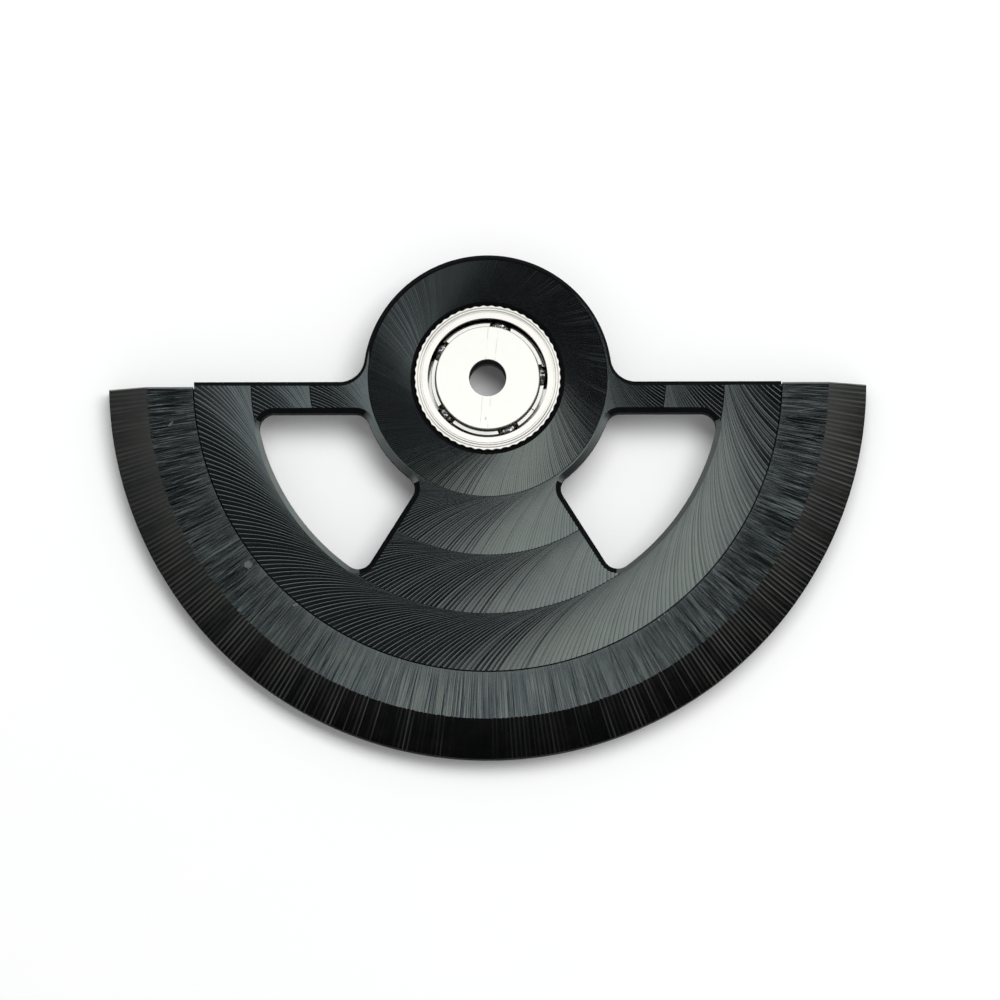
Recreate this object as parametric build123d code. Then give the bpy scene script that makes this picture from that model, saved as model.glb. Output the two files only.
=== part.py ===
from build123d import *
import math
import os

# Winding rotor of an automatic wrist watch: a skeletonised half-disc plate, a heavy rim and a ball bearing.
# Lengths are in millimetres and angles in degrees.
# The origin is on the bearing axis, in the plane where the inner ring seats on the movement.
# +X runs along the rotor's straight edge, the heavy rim lies towards -Y, and +Z points to the case back.

# Plate
plate_r = 10.05
plate_thick = 0.60
plate_top_z = 1.45
plate_bevel = 0.16
hub_wall = 1.76
edge_drop = 0.155
arm_width = 1.08
arm_fillet_r = 0.86
window_past_hub = 0.08
window_corner_r = 0.50
outer_band_width = 2.05
spoke_half_angle = 32.3

# Heavy rim, with a ledge that carries the plate's outer edge
rim_height = 1.57
rim_below_plate = 0.03
rim_flat_width = 1.53
rim_bevel_width = 1.40
rim_bevel_drop = 0.70
rim_edge_break = 0.05
seam_gap = 0.02
ledge_width = 1.05
ledge_thick = 0.45
ledge_relief = 0.40
left_end_setback = 0.165
right_end_setback = 0.03

# Rivets that hold the rim to the plate from below, blind in the plate
rivet_count = 5
rivet_span_angle = 140.0
rivet_r = 0.30
rivet_head_r = 0.46
rivet_head_height = 0.16
rivet_bite = 0.38

# Bearing outer ring, pressed into the plate
bearing_r = 2.50
bearing_above_plate = 0.05
outer_ring_wall = 0.45
outer_land_width = 0.20
outer_groove_width = 0.04
outer_groove_depth = 0.04
outer_lip_drop = 0.07
serration_count = 54
serration_depth = 0.045
flange_width = 0.25
flange_thick = 0.25
neck_wall = 0.25
neck_end = 0.05
retaining_lip_reach = 0.18
retaining_lip_thick = 0.08

# Gear that drives the winding train, under the plate
gear_teeth = 48
gear_wall = 0.545
gear_thick = 0.25
tooth_tip_share = 0.20
tooth_root_share = 0.36
gear_root_clearance = 0.03

# Bearing inner ring, in two halves that close on the balls
cage_space = 0.27
inner_below_outer = 0.02
lower_ring_wall = 0.73
spigot_wall = 0.42
inner_hole_chamfer = 0.05
inner_edge_break = 0.03
seat_setback = 0.28
seat_height = 0.22

# Balls and cage
ball_count = 5
ball_r = 0.32
ball_circle_past_inner = 0.12
ball_play = 0.03
ball_middle_z = 0.90
first_ball_angle = 4.3
cage_inner_clearance = 0.02
cage_thick = 0.17
cage_top_above_middle = 0.24
cage_lip_clearance = 0.02
pocket_clearance = 0.05
cage_split_angle = -34.4
cage_split_width = 0.03

# One overrun serves all cuts
overrun = 1.0

FULL_TURN = 360.0
RIGHT_ANGLE = 90.0
HALF = 0.5

# Heights and radii that follow from the sizes above
plate_bottom_z = plate_top_z - plate_thick
hub_r = bearing_r + hub_wall
window_inner_r = hub_r + window_past_hub
window_outer_r = plate_r - outer_band_width
rim_top_z = plate_top_z - rim_below_plate
rim_bottom_z = rim_top_z - rim_height
rim_inner_r = plate_r + seam_gap
rim_bevel_r = rim_inner_r + rim_flat_width
rim_r = rim_bevel_r + rim_bevel_width
outer_bore_r = bearing_r - outer_ring_wall
neck_r = outer_bore_r + neck_wall
retaining_lip_r = outer_bore_r - retaining_lip_reach
inner_r = outer_bore_r - cage_space
spigot_r = inner_r - lower_ring_wall
inner_hole_r = spigot_r - spigot_wall
seat_r = inner_r - seat_setback
ball_circle_r = inner_r + ball_circle_past_inner
bearing_top_z = plate_top_z + bearing_above_plate
flange_bottom_z = plate_bottom_z - flange_thick
gear_bottom_z = flange_bottom_z - gear_thick
ring_bottom_z = gear_bottom_z - neck_end
inner_top_z = bearing_top_z - inner_below_outer
ball_track_r = ball_r + ball_play


def polar_point(radius, angle):
    """Point in the plan at a radius and an angle from +X."""
    return (radius * math.cos(math.radians(angle)), radius * math.sin(math.radians(angle)))


def ring_of(profile_points):
    """Solid of revolution about Z from (radius, height) corners."""
    profile = Plane.XZ * make_face(Polyline(*profile_points, close=True))
    return revolve(profile, axis=Axis.Z)


def straight_down_from(top_y, half_width, depth):
    """Rectangle in the plan whose upper side lies at top_y."""
    return Pos(0, top_y - depth * HALF) * Rectangle(half_width + half_width, depth)


def plate_outline():
    """Half disc with a round hub standing above its straight edge, and filleted where they meet."""
    half_disc = Circle(plate_r) & straight_down_from(-edge_drop, plate_r, plate_r)
    outline = half_disc + Circle(hub_r)
    halfway_out = (hub_r + plate_r) * HALF
    inner_corners = [
        corner for corner in outline.vertices() if corner.Y < 0 and abs(corner.X) < halfway_out
    ]
    return fillet(inner_corners, arm_fillet_r)


def window(side):
    """One window: hub arc, outer arc, the spoke's radial side and a side parallel to the straight edge."""
    spoke_side = -RIGHT_ANGLE + side * spoke_half_angle
    reach = window_outer_r + overrun
    sector = make_face(
        Polyline(
            (0, 0),
            polar_point(reach, spoke_side),
            (side * reach, -reach),
            (side * reach, 0),
            close=True,
        )
    )
    below_arm = straight_down_from(-edge_drop - arm_width, reach, reach)
    shape = (Circle(window_outer_r) - Circle(window_inner_r)) & sector & below_arm
    return fillet(shape.vertices(), window_corner_r)


def rivet_places():
    """Plan points of the rivets, spread evenly along the ledge."""
    circle_r = plate_r - ledge_width * HALF
    step = rivet_span_angle / (rivet_count - 1)
    first = -RIGHT_ANGLE - rivet_span_angle * HALF
    return [polar_point(circle_r, first + step * number) for number in range(rivet_count)]


def is_bevelled(edge):
    """True for the plate's top edges, apart from the arc at the seam with the rim."""
    at_top = edge.bounding_box().min.Z > plate_top_z - plate_bevel * HALF
    middle = edge.position_at(HALF)
    at_seam = math.hypot(middle.X, middle.Y) > plate_r - plate_bevel * HALF
    return at_top and not at_seam


def rotor_plate():
    """Skeletonised plate with a bevel round its edges, windows and bearing seat."""
    outline = plate_outline() - window(-1) - window(1) - Circle(bearing_r)
    plate = Pos(0, 0, plate_bottom_z) * extrude(outline, plate_thick)
    bevelled = [edge for edge in plate.edges() if is_bevelled(edge)]
    plate = chamfer(bevelled, plate_bevel)
    for place_x, place_y in rivet_places():
        hole = Cylinder(rivet_r, rivet_bite, align=(Align.CENTER, Align.CENTER, Align.MIN))
        plate -= Pos(place_x, place_y, plate_bottom_z) * hole
    return plate


def rim_weight():
    """Heavy rim: flat top, conical bevel, upright wall, and a ledge under the plate's outer edge."""
    ledge_inner_r = plate_r - ledge_width
    ledge_bottom_z = plate_bottom_z - ledge_thick
    deep_inner_r = rim_inner_r + ledge_relief
    rim = ring_of([
        (ledge_inner_r, ledge_bottom_z),
        (ledge_inner_r, plate_bottom_z),
        (rim_inner_r, plate_bottom_z),
        (rim_inner_r, rim_top_z),
        (rim_bevel_r, rim_top_z),
        (rim_r, rim_top_z - rim_bevel_drop),
        (rim_r, rim_bottom_z + rim_edge_break),
        (rim_r - rim_edge_break, rim_bottom_z),
        (deep_inner_r, rim_bottom_z),
        (deep_inner_r, ledge_bottom_z),
    ])
    cut_size = rim_r + overrun
    left_end_y = -edge_drop - left_end_setback
    right_end_y = -edge_drop - right_end_setback
    above_left = Box(cut_size, cut_size, cut_size, align=(Align.MAX, Align.MIN, Align.CENTER))
    above_right = Box(cut_size, cut_size, cut_size, align=(Align.MIN, Align.MIN, Align.CENTER))
    rim -= Pos(0, left_end_y, 0) * above_left
    rim -= Pos(0, right_end_y, 0) * above_right
    for place_x, place_y in rivet_places():
        shank_hole = Cylinder(rivet_r, ledge_thick, align=(Align.CENTER, Align.CENTER, Align.MIN))
        head_hole = Cone(
            rivet_head_r, rivet_r, rivet_head_height, align=(Align.CENTER, Align.CENTER, Align.MIN)
        )
        rim -= Pos(place_x, place_y, ledge_bottom_z) * (shank_hole + head_hole)
    return rim


def rim_rivet(place):
    """Countersunk rivet, flush under the ledge and blind in the plate."""
    ledge_bottom_z = plate_bottom_z - ledge_thick
    shank = Cylinder(rivet_r, ledge_thick + rivet_bite, align=(Align.CENTER, Align.CENTER, Align.MIN))
    head = Cone(rivet_head_r, rivet_r, rivet_head_height, align=(Align.CENTER, Align.CENTER, Align.MIN))
    return Pos(place[0], place[1], ledge_bottom_z) * (shank + head)


def serrated_disc():
    """Plan of the ring's serrated edge, with one tip and one valley for each serration."""
    half_step = FULL_TURN / serration_count * HALF
    points = []
    for number in range(serration_count):
        angle = number * (half_step + half_step)
        points.append(polar_point(bearing_r, angle))
        points.append(polar_point(bearing_r - serration_depth, angle + half_step))
    return make_face(Polyline(*points, close=True))


def ball_track():
    """Ring-shaped space that the balls run in, shared by the inner and outer rings."""
    return Pos(0, 0, ball_middle_z) * Torus(ball_circle_r, ball_track_r)


def bearing_outer_ring():
    """Outer ring: serrated collar in the plate, flange under it, and a neck for the gear."""
    land_r = outer_bore_r + outer_land_width
    slope_inner_r = land_r + outer_groove_width
    serrated_part = ring_of([
        (outer_bore_r, plate_bottom_z),
        (outer_bore_r, bearing_top_z),
        (land_r, bearing_top_z),
        (land_r, bearing_top_z - outer_groove_depth),
        (slope_inner_r, bearing_top_z - outer_groove_depth),
        (slope_inner_r, bearing_top_z),
        (bearing_r, bearing_top_z - outer_lip_drop),
        (bearing_r, plate_bottom_z),
    ])
    serrated_part &= extrude(serrated_disc(), bearing_top_z + overrun)
    lower_part = ring_of([
        (retaining_lip_r, ring_bottom_z),
        (retaining_lip_r, ring_bottom_z + retaining_lip_thick),
        (outer_bore_r, ring_bottom_z + retaining_lip_thick),
        (outer_bore_r, plate_bottom_z),
        (bearing_r + flange_width, plate_bottom_z),
        (bearing_r + flange_width, flange_bottom_z),
        (neck_r, flange_bottom_z),
        (neck_r, ring_bottom_z),
    ])
    return serrated_part + lower_part - ball_track()


def winding_gear():
    """Toothed ring on the outer ring's neck."""
    root_r = neck_r + gear_wall
    half_teeth = gear_teeth * HALF
    gear_module = (root_r + gear_root_clearance) / (half_teeth - 1)
    tip_r = gear_module * (half_teeth + 1)
    step = FULL_TURN / gear_teeth
    points = []
    for number in range(gear_teeth):
        middle = number * step
        points.append(polar_point(root_r, middle - step * tooth_root_share))
        points.append(polar_point(tip_r, middle - step * tooth_tip_share))
        points.append(polar_point(tip_r, middle + step * tooth_tip_share))
        points.append(polar_point(root_r, middle + step * tooth_root_share))
    outline = make_face(Polyline(*points, close=True)) - Circle(neck_r)
    return Pos(0, 0, gear_bottom_z) * extrude(outline, gear_thick)


def inner_ring_upper():
    """Upper half of the inner ring: the bright disc, with a hollow spigot that reaches the seat."""
    ring = ring_of([
        (inner_hole_r, 0),
        (inner_hole_r, inner_top_z - inner_hole_chamfer),
        (inner_hole_r + inner_hole_chamfer, inner_top_z),
        (inner_r - inner_edge_break, inner_top_z),
        (inner_r, inner_top_z - inner_edge_break),
        (inner_r, ball_middle_z),
        (spigot_r, ball_middle_z),
        (spigot_r, 0),
    ])
    return ring - ball_track()


def inner_ring_lower():
    """Lower half of the inner ring: fits round the spigot and seats on the movement."""
    ring = ring_of([
        (spigot_r, 0),
        (spigot_r, ball_middle_z),
        (inner_r, ball_middle_z),
        (inner_r, seat_height),
        (seat_r, seat_height),
        (seat_r, 0),
    ])
    return ring - ball_track()


def ball_angles():
    """Angle of each ball's place from +X."""
    step = FULL_TURN / ball_count
    return [first_ball_angle + step * number for number in range(ball_count)]


def ball_cage():
    """Crown cage: a ring with a pocket for each ball, open at the top, and split once."""
    cage_inner_r = inner_r + cage_inner_clearance
    cage_outer_r = cage_inner_r + cage_thick
    cage_bottom_z = ring_bottom_z + retaining_lip_thick + cage_lip_clearance
    cage_top_z = ball_middle_z + cage_top_above_middle
    wall = Circle(cage_outer_r) - Circle(cage_inner_r)
    cage = Pos(0, 0, cage_bottom_z) * extrude(wall, cage_top_z - cage_bottom_z)
    pocket_r = ball_r + pocket_clearance
    for angle in ball_angles():
        round_part = Rot(0, RIGHT_ANGLE, 0) * Cylinder(pocket_r, overrun)
        open_part = Box(overrun, pocket_r + pocket_r, overrun, align=(Align.CENTER, Align.CENTER, Align.MIN))
        pocket = Pos(ball_circle_r, 0, ball_middle_z) * (round_part + open_part)
        cage -= Rot(0, 0, angle) * pocket
    split = Pos(ball_circle_r, 0, ball_middle_z) * Box(overrun, cage_split_width, overrun + overrun)
    return cage - Rot(0, 0, cage_split_angle) * split


def ball(angle):
    """One ball at its place in the cage."""
    place_x, place_y = polar_point(ball_circle_r, angle)
    return Pos(place_x, place_y, ball_middle_z) * Sphere(ball_r)


def all_pieces():
    """Every separate piece of the rotor by its node name."""
    pieces = {
        "rotor_plate": rotor_plate(),
        "rim_weight": rim_weight(),
        "bearing_outer_ring": bearing_outer_ring(),
        "winding_gear": winding_gear(),
        "inner_ring_upper": inner_ring_upper(),
        "inner_ring_lower": inner_ring_lower(),
        "ball_cage": ball_cage(),
    }
    for number, place in enumerate(rivet_places(), start=1):
        pieces[f"rim_rivet_{number}"] = rim_rivet(place)
    for number, angle in enumerate(ball_angles(), start=1):
        pieces[f"ball_{number}"] = ball(angle)
    return pieces


os.makedirs("parts", exist_ok=True)
for node, piece in all_pieces().items():
    export_step(piece, f"parts/{node}.step")
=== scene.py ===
import math
import random

import bmesh
import bpy
from mathutils import Matrix, Vector
from mathutils.kdtree import KDTree


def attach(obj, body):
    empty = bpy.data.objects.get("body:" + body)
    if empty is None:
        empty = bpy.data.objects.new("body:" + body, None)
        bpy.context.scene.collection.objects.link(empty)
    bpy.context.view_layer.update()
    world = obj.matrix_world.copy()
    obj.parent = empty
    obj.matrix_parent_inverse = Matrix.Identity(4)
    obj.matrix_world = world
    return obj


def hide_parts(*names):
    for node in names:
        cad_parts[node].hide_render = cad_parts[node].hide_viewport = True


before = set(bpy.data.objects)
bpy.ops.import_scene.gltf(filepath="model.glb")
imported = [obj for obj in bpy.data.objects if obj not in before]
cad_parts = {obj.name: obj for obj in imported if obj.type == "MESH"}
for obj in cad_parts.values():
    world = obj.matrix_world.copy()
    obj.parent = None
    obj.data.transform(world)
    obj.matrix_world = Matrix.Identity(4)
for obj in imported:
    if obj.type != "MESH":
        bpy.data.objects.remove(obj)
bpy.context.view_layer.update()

# A piece is shaped in millimetres and settled in metres. The origin is on the bearing axis.
MM = 0.001
TURN = 2 * math.pi
SAME_PLACE = 1e-5

# Plate
PLATE_R = 10.045
PLATE_TOP = 1.45
PLATE_BOTTOM = 0.85
BEVEL_WIDTH = 0.16
BEVEL_DROP = 0.10
WINDOW_BEVEL_DROP = 0.12
SEAT_BEVEL_SHARE = 0.9
HUB_R = 4.26
HUB_BEVEL_SHARE = 0.6
EDGE_DROP = 0.120
ARM_WIDTH = 1.08
ARM_FILLET_R = 0.86
WINDOW_INNER_R = 4.34
WINDOW_OUTER_R = 8.00
WINDOW_CORNER_R = 0.50
SPOKE_HALF_ANGLE = math.radians(32.3)

# Swirl finish: each groove is an arc of the cutter's circle, and touches the inner edge of its band
CUTTER_R = 7.0
SPARE_TOP = 0.012
BAND_COUNT = 4
BAND_START = 2.075
BAND_WIDTH = 2.005
BAND_OVERLAP = 0.003
BAND_STEP = 0.004
BAND_TROUGH = 0.012
BAND_RAMP = 0.030
BAND_RAMP_RISE = 0.024
HUB_REACH = (0.0, TURN)
ARM_REACH = (-math.pi - math.radians(4), math.radians(52))
GROOVES = 330
GROOVE_SLOPE = 0.165
HUB_GROOVE_SLOPE = 0.22
GROOVE_STEEP = 0.06
GROOVE_CREST = 0.12
HUB_GROOVE_CREST = 0.02
GROOVE_HOLLOW = 1.3
GROOVE_GROWTH = 0.45
GROOVE_DEPTHS = (0.75, 1.15)
CREST_LOSS = 0.0022
FINE_SLOPE = 0.11
FINE_LINES = 4.3

# Rivets
RIVET_CIRCLE_R = 9.525
RIVET_ANGLES = [math.radians(-160 + 35 * number) for number in range(5)]
RIVET_R = 0.30
RIVET_TOP = 1.23
RIVET_HEAD_R = 0.46
RIVET_HEAD_TOP = 0.56

# Rim
RIM_TOP = 1.42
RIM_BOTTOM = -0.15
RIM_INNER_R = 10.085
RIM_BEVEL_R = 11.68
RIM_R = 13.00
RIM_BEVEL_DROP = 0.70
RIM_BEVEL_SLOPE = math.atan(RIM_BEVEL_DROP / (RIM_R - RIM_BEVEL_R))
BEVEL_MIDDLE_R = 12.3
BEVEL_MIDDLE_DROP = 0.35
LEDGE_R = 9.0
LEDGE_BOTTOM = 0.40
SKIRT_R = 10.47
SEAM_BREAK = 0.004
FOOT_BREAK = 0.05
END_BREAK = 0.06
LEFT_END = -0.285
RIGHT_END = -0.15
RIB_COUNT = 250
RIB_DEPTH = 0.016
FLAT_RIB_DEPTH = 0.0015

# Bearing: outer ring
RING_R = 2.50
RING_TOP = 1.50
BORE_R = 2.05
BORE_BOTTOM = 0.38
LAND_R = 2.25
LAND_GROOVE_DEPTH = 0.045
LIP_R = 2.284
LIP_DROP = 0.006
LIP_BREAK = 0.012
LIP_GROOVES = (2.322, 2.404)
LIP_GROOVE_HALF = 0.021
LIP_GROOVE_DEPTH = 0.0065
SERRATIONS = 54
SERRATED_FROM = 2.44
SERRATION_RUN = 0.06
SERRATION_DEPTH = 0.035
FLANGE_R = 2.75
FLANGE_BOTTOM = 0.60
NECK_R = 2.30
NECK_BORE_R = 1.87
NECK_BOTTOM = 0.30
TURNED_BREAK = 0.01

# Bearing: inner ring in two halves
INNER_R = 1.78
INNER_TOP = 1.48
INNER_ROUNDING = 0.03
HOLE_R = 0.63
HOLE_BREAK = 0.012
HOLE_BREAK_DROP = 0.016
SPIGOT_R = 1.05
SEAT_R = 1.50
SEAT_TOP = 0.22

# Bearing: balls and cage
TRACK_R = 0.35
BALL_R = 0.32
BALL_CIRCLE_R = 1.90
BALL_Z = 0.90
BALL_ANGLES = [math.radians(4.3 + 72 * number) for number in range(5)]
POCKET_PLAY = 0.05
CAGE_INNER_R = 1.80
CAGE_OUTER_R = 1.94
CAGE_BOTTOM = 0.40
CAGE_TOP = 1.14
CAGE_BREAK = 0.015
SPLIT_ANGLE = math.radians(-34.4)
SPLIT_HALF_WIDTH = 0.015

# Gear
GEAR_TEETH = 48
GEAR_TIP_R = 3.125
GEAR_PITCH_R = 3.0
GEAR_ROOT_R = 2.845
GEAR_BOTTOM = 0.35


# Shaping

def only(piece):
    """Leaves one object selected and active, in object mode."""
    if bpy.context.object is not None and bpy.context.object.mode != "OBJECT":
        bpy.ops.object.mode_set(mode="OBJECT")
    bpy.ops.object.select_all(action="DESELECT")
    if piece is not None:
        piece.select_set(True)
        bpy.context.view_layer.objects.active = piece


def named(piece, name):
    piece.name = name
    piece.data.name = name
    return piece


def fresh(name):
    """Names the primitive that was just added and applies its place and size."""
    bpy.ops.object.transform_apply(location=True, rotation=True, scale=True)
    return named(bpy.context.object, name)


def copied(pattern, name, place):
    """A copy of a piece that is shaped about the origin, moved to its place."""
    only(pattern)
    bpy.ops.object.duplicate(linked=False)
    piece = named(bpy.context.object, name)
    piece.data.transform(Matrix.Translation(place))
    return piece


def on_circle(radius, angle):
    return radius * math.cos(angle), radius * math.sin(angle)


def cylinder(name, radius, bottom, top, place=(0.0, 0.0)):
    only(None)
    middle = (*place, (bottom + top) / 2)
    bpy.ops.mesh.primitive_cylinder_add(vertices=48, radius=radius, depth=top - bottom, location=middle)
    return fresh(name)


def block(name, low, high):
    only(None)
    middle = [(a + b) / 2 for a, b in zip(low, high)]
    bpy.ops.mesh.primitive_cube_add(size=1, location=middle)
    bpy.context.object.scale = [b - a for a, b in zip(low, high)]
    return fresh(name)


def carve(piece, tool):
    """Cuts the tool out of the piece, and removes the tool."""
    cut = piece.modifiers.new("cut", "BOOLEAN")
    cut.operation = "DIFFERENCE"
    cut.solver = "MANIFOLD"
    cut.object = tool
    only(piece)
    bpy.ops.object.modifier_apply(modifier=cut.name)
    bpy.data.objects.remove(tool)


def edit(piece):
    """Opens a piece in edit mode with everything selected."""
    only(piece)
    bpy.ops.object.mode_set(mode="EDIT")
    bpy.ops.mesh.select_all(action="SELECT")


def tidy(piece):
    """Joins doubled vertices and points every face outwards."""
    edit(piece)
    bpy.ops.mesh.remove_doubles(threshold=SAME_PLACE)
    bpy.ops.mesh.normals_make_consistent(inside=False)
    bpy.ops.object.mode_set(mode="OBJECT")


def turned(name, profile, steps, angle=TURN):
    """Turns a profile of (radius, height) corners about the axis, from +X towards -Y.

    The profile is closed, except where both its ends lie on the axis.
    """
    only(None)
    bpy.ops.mesh.primitive_plane_add(size=1)
    piece = fresh(name)
    edit(piece)
    bpy.ops.mesh.merge(type="CENTER")
    start_r, start_z = profile[0]
    bpy.ops.transform.translate(value=(start_r, 0, start_z))
    for (r0, z0), (r1, z1) in zip(profile, profile[1:]):
        step = {"value": (r1 - r0, 0, z1 - z0)}
        bpy.ops.mesh.extrude_vertices_move(TRANSFORM_OT_translate=step)
    if start_r > 0 or profile[-1][0] > 0:
        mesh = bmesh.from_edit_mesh(piece.data)
        mesh.edges.new([vert for vert in mesh.verts if len(vert.link_edges) == 1])
        bmesh.update_edit_mesh(piece.data)
    bpy.ops.mesh.select_all(action="SELECT")
    if angle < TURN:
        bpy.ops.mesh.edge_face_add()
    bpy.ops.mesh.spin(steps=steps, angle=angle, center=(0, 0, 0), axis=(0, 0, 1))
    tidy(piece)
    return piece


def settle(piece, body, node, finishes, choose=None, smooth=15):
    """Brings a shaped piece to metres, smooths it, gives its finishes, and sets it in the rotor.

    Where a piece has several finishes, choose gives a face's number from its middle and normal.
    """
    only(piece)
    piece.data.materials.clear()
    for finish in finishes:
        piece.data.materials.append(finish)
    for face in piece.data.polygons:
        face.material_index = choose(face.center, face.normal) if choose else 0
    piece.data.transform(Matrix.Scale(MM, 4))
    bpy.ops.object.shade_smooth_by_angle(angle=math.radians(smooth), keep_sharp_edges=False)
    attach(piece, body)
    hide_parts(node)


def arc(centre, radius, first, last, count):
    """Points along an arc, both ends included, with angles in radians."""
    step = (last - first) / count
    return [
        (centre[0] + radius * math.cos(first + step * n), centre[1] + radius * math.sin(first + step * n))
        for n in range(count + 1)
    ]


# Plate

def plate_edge(inset):
    """Outer outline, inset from the wall: seam arc, arms, fillets and hub."""
    edge_y = -EDGE_DROP - inset
    end_x = math.sqrt(PLATE_R ** 2 - edge_y ** 2)
    end_angle = math.atan2(edge_y, end_x)
    reach = HUB_R + ARM_FILLET_R
    fillet_y = ARM_FILLET_R - EDGE_DROP
    fillet_x = math.sqrt(reach ** 2 - fillet_y ** 2)
    meet = math.atan2(fillet_y, fillet_x)
    sweep = meet - math.pi / 2
    steps = 24
    fillet = []
    for n in range(steps + 1):
        radius = ARM_FILLET_R + inset * (1 + (HUB_BEVEL_SHARE - 1) * n / steps)
        angle = sweep * n / steps - math.pi / 2
        fillet.append((fillet_x + radius * math.cos(angle), fillet_y + radius * math.sin(angle)))
    points = arc((0, 0), PLATE_R, -math.pi - end_angle, end_angle, 360) + fillet
    points += arc((0, 0), HUB_R - inset * HUB_BEVEL_SHARE, meet, math.pi - meet, 144)[1:-1]
    return points + [(-x, y) for x, y in reversed(fillet)]


def window_edge(side, inset):
    """Outline of one window, grown by the inset: hub arc, spoke side, outer arc and arm side."""
    corner = WINDOW_CORNER_R
    top_y = -EDGE_DROP - ARM_WIDTH - corner
    outer_c = WINDOW_OUTER_R - corner
    inner_c = WINDOW_INNER_R + corner
    spoke = SPOKE_HALF_ANGLE - math.pi / 2
    along = Vector((math.cos(spoke), math.sin(spoke)))
    across = Vector((-math.sin(spoke), math.cos(spoke)))
    top_outer = Vector((math.sqrt(outer_c ** 2 - top_y ** 2), top_y))
    top_inner = Vector((math.sqrt(inner_c ** 2 - top_y ** 2), top_y))
    spoke_inner = along * math.sqrt(inner_c ** 2 - corner ** 2) + across * corner
    spoke_outer = along * math.sqrt(outer_c ** 2 - corner ** 2) + across * corner

    def angle_of(point):
        return math.atan2(point.y, point.x)

    out_side = spoke + math.pi * 3 / 2
    corner_r = corner + inset
    points = arc(top_outer, corner_r, angle_of(top_outer), math.pi / 2, 14)
    points += arc(top_inner, corner_r, math.pi / 2, angle_of(top_inner) + math.pi, 14)
    points += arc((0, 0), WINDOW_INNER_R - inset, angle_of(top_inner), angle_of(spoke_inner), 40)[1:-1]
    points += arc(spoke_inner, corner_r, angle_of(spoke_inner) + math.pi, out_side, 14)
    points += arc(spoke_outer, corner_r, out_side, angle_of(spoke_outer) + TURN, 14)
    points += arc((0, 0), WINDOW_OUTER_R + inset, angle_of(spoke_outer), angle_of(top_outer), 72)[1:-1]
    return [(side * x, y) for x, y in points]


def outlined(name, outline, levels):
    """A solid that grows upwards from an outline, which moves by a level's inset at its height."""
    inset, height = levels[0]
    points = outline(inset)
    only(None)
    bpy.ops.mesh.primitive_circle_add(vertices=len(points), radius=1, fill_type="NGON")
    piece = fresh(name)
    for vert, (x, y) in zip(piece.data.vertices, points):
        vert.co = (x, y, height)
    edit(piece)
    for inset, next_height in levels[1:]:
        nearest = KDTree(len(points))
        for number, (x, y) in enumerate(points):
            nearest.insert((x, y, 0.0), number)
        nearest.balance()
        points = outline(inset)
        rise = {"value": (0, 0, next_height - height)}
        bpy.ops.mesh.extrude_region_move(TRANSFORM_OT_translate=rise)
        mesh = bmesh.from_edit_mesh(piece.data)
        for vert in mesh.verts:
            if vert.select:
                number = nearest.find((vert.co.x, vert.co.y, 0.0))[1]
                vert.co.x, vert.co.y = points[number]
        bmesh.update_edit_mesh(piece.data)
        height = next_height
    tidy(piece)
    return piece


def plate_blank():
    """The plate before its finish, with the spare height on top that the swirl cutter takes off."""
    slant = BEVEL_WIDTH / BEVEL_DROP
    bevel_start = PLATE_TOP - BEVEL_DROP
    top = PLATE_TOP + SPARE_TOP
    levels = [(0.0, PLATE_BOTTOM), (0.0, bevel_start), ((top - bevel_start) * slant, top)]
    piece = outlined("swirled_plate", plate_edge, levels)
    over = top + 0.1
    openings = [
        (lambda inset: window_edge(1, inset), WINDOW_BEVEL_DROP),
        (lambda inset: window_edge(-1, inset), WINDOW_BEVEL_DROP),
        (lambda inset: arc((0, 0), RING_R + inset * SEAT_BEVEL_SHARE, 0, TURN, 216)[:-1], BEVEL_DROP),
    ]
    for opening, drop in openings:
        bevel_start = PLATE_TOP - drop
        levels = [(0.0, PLATE_BOTTOM - 0.1), (0.0, bevel_start), ((over - bevel_start) * slant, over)]
        carve(piece, outlined("opening", opening, levels))
    return piece


def groove_shift(inner_r, radius):
    """How far round the axis a groove has run by the time it reaches a radius."""
    centre_r = inner_r + CUTTER_R
    share = (radius ** 2 + centre_r ** 2 - CUTTER_R ** 2) / (2 * radius * centre_r)
    return math.acos(min(1.0, share))


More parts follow.
